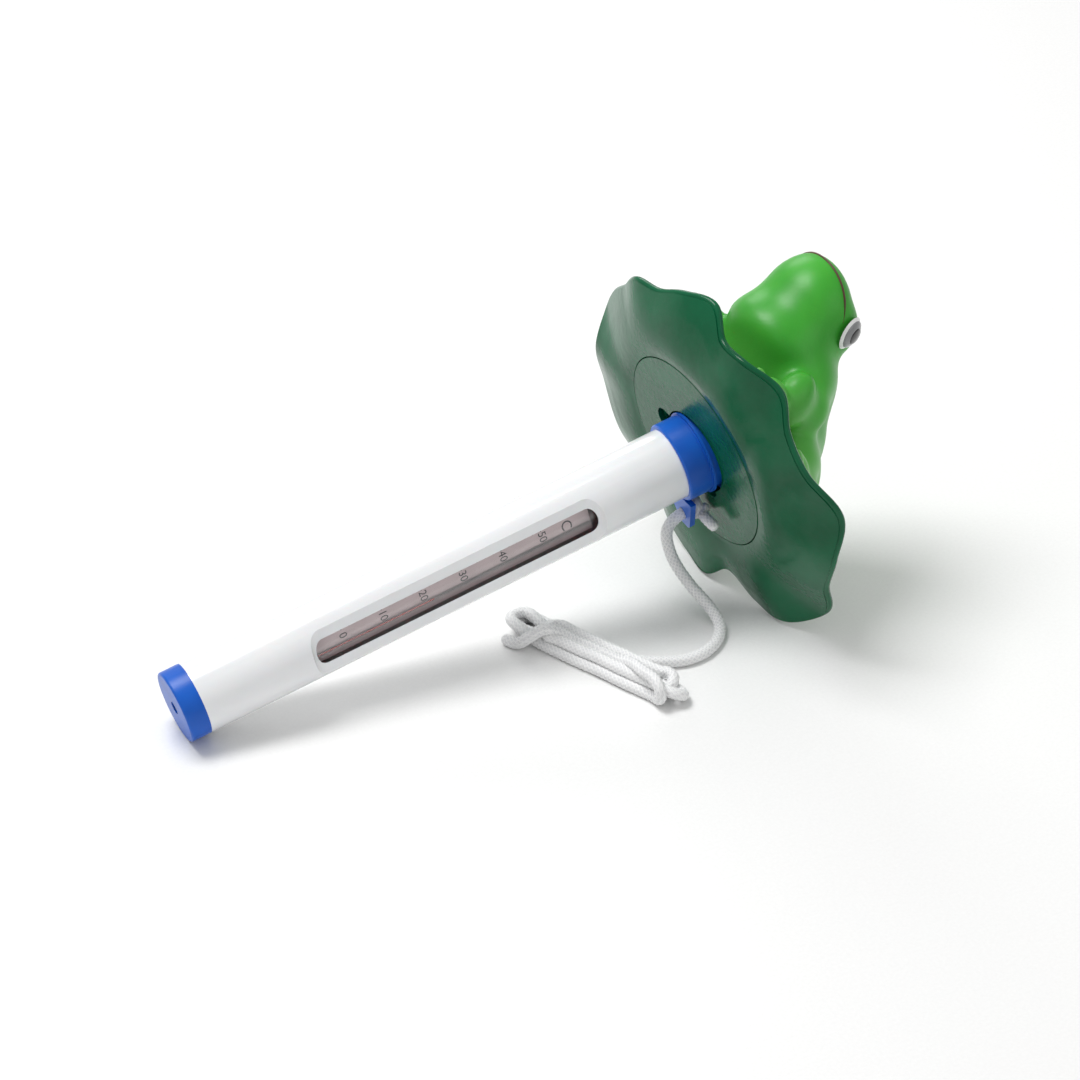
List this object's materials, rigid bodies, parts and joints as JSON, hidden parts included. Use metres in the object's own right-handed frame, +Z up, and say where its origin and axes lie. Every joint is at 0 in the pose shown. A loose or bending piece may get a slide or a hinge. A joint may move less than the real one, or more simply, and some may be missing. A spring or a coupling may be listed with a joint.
{
  "type": "floating pool thermometer",
  "caption": "Frog on a lily pad that floats a clear windowed tube with a glass water thermometer, a plug at the bottom and a tether cord.",
  "frame": {"origin": "on the ground under the middle of the laid-down thermometer's box, its cord left out", "axes": "+Z up from the ground it lies on, +X along the tube from the bottom cap towards the frog, level; +Y to the side away from the cord"},
  "size_m": [0.2596, 0.1278, 0.1231],
  "materials": {
    "white_plastic": "gloss",
    "blue_plastic": "satin",
    "glass": "clear",
    "stopper": "matte",
    "card": "printed",
    "liquid": "liquid",
    "bush": "matte",
    "green_vinyl_dark": "gloss",
    "green_vinyl": "gloss",
    "foam": "closed-cell foam",
    "cord": "braided"
  },
  "bodies": {
    "stick": {"tube": "white_plastic", "collar": "blue_plastic", "glass_envelope": "glass", "envelope_stopper": "stopper", "scale_card": "card", "capillary": "glass", "bulb_liquid": "liquid", "lower_bush": "bush", "upper_bush": "bush", "stopper_knot": "cord", "cord_lead": "cord", "cord_hank": "cord"},
    "float": {"lily_pad": "green_vinyl_dark", "base_disc": "green_vinyl_dark", "foam_core": "foam", "frog": "green_vinyl"},
    "plug": {"bottom_cap": "blue_plastic"},
    "column": {"liquid_thread": "liquid"}
  },
  "joints": [
    {"name": "float_turn", "type": "hinge", "parent": "stick", "child": "float", "pos_m": [-0.12704, 0.00105, 0.012], "axis": [0.9732, 0, 0.2301], "continuous": true},
    {"name": "plug_pull", "type": "slide", "parent": "stick", "child": "plug", "axis": [-0.9732, 0, -0.2301], "range_m": [0, 0.02]},
    {"name": "temperature", "type": "slide", "parent": "stick", "child": "column", "axis": [0.9732, 0, 0.2301], "range_m": [-0.0315, 0.04], "deforming": ["liquid_thread"]}
  ]
}
